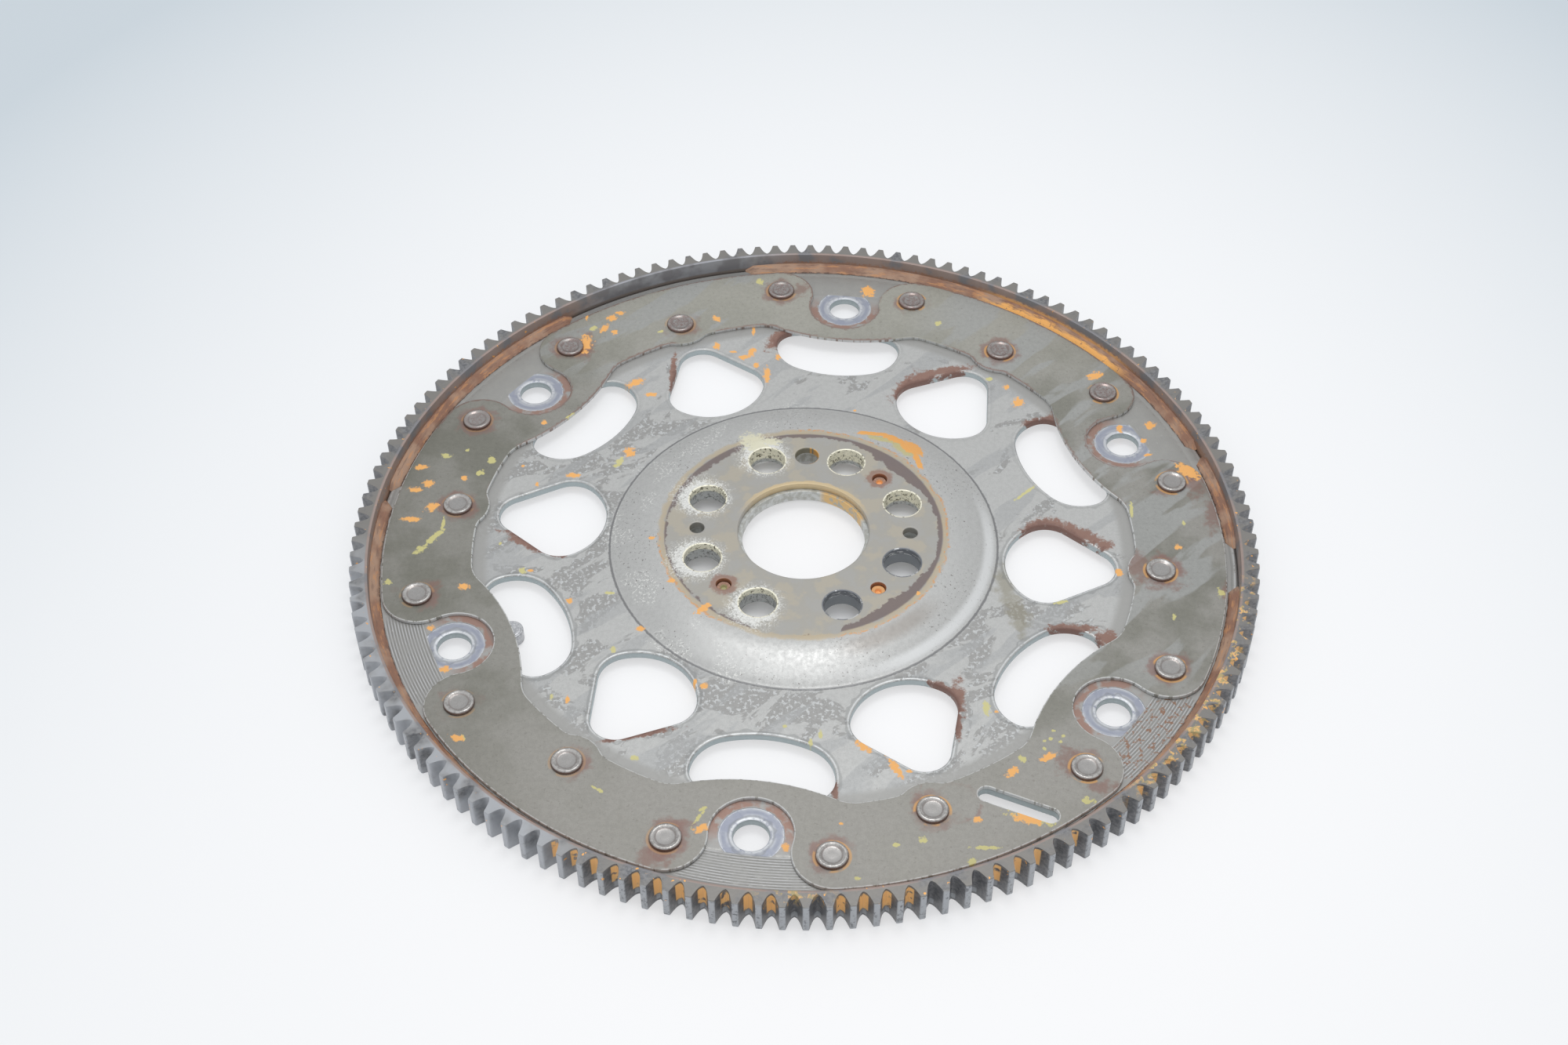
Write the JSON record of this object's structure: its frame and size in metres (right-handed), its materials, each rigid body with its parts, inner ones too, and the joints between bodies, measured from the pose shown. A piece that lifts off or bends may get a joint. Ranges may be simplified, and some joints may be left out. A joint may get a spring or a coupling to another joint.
{
  "type": "flexplate",
  "caption": "Pressed steel drive plate with a welded ring gear, riveted reinforcing ring, lightening windows and a dished hub bolted to a crankshaft",
  "frame": {"origin": "on the axis of rotation, in the plane of the ring gear's lower face, on which the part lies", "axes": "+Z is the axis of rotation, towards the side that the reinforcing ring is riveted to; +X and +Y lie in the plane, with the two dowel holes on the X axis"},
  "size_m": [0.2984, 0.2984, 0.0118],
  "materials": {
    "gear_steel": "dark, oily, with rust on the inner side",
    "disc_steel": "dull, mottled, lightly stained",
    "ring_steel": "dull olive grey with orange flecks",
    "rivet_steel": "pressed bright rims with rust round them",
    "hub_steel": "dull, with residue",
    "pin_steel": "rusted",
    "slug_steel": "plain machined",
    "weld_steel": "rusted bead"
  },
  "bodies": {
    "root": {"balance_slug": "slug_steel", "flex_disc": "disc_steel", "hub_pin_225": "pin_steel", "hub_pin_315": "pin_steel", "hub_pin_45": "pin_steel", "hub_plate": "hub_steel", "outer_rivet_01": "rivet_steel", "outer_rivet_02": "rivet_steel", "outer_rivet_03": "rivet_steel", "outer_rivet_04": "rivet_steel", "outer_rivet_05": "rivet_steel", "outer_rivet_06": "rivet_steel", "outer_rivet_07": "rivet_steel", "outer_rivet_08": "rivet_steel", "outer_rivet_09": "rivet_steel", "outer_rivet_10": "rivet_steel", "outer_rivet_11": "rivet_steel", "outer_rivet_12": "rivet_steel", "outer_rivet_13": "rivet_steel", "outer_rivet_14": "rivet_steel", "outer_rivet_15": "rivet_steel", "outer_rivet_16": "rivet_steel", "outer_rivet_17": "rivet_steel", "outer_rivet_18": "rivet_steel", "reinforcing_ring": "ring_steel", "ring_gear": "gear_steel", "weld_bead_1": "weld_steel", "weld_bead_2": "weld_steel", "weld_bead_3": "weld_steel", "weld_bead_4": "weld_steel"}
  },
  "joints": []
}
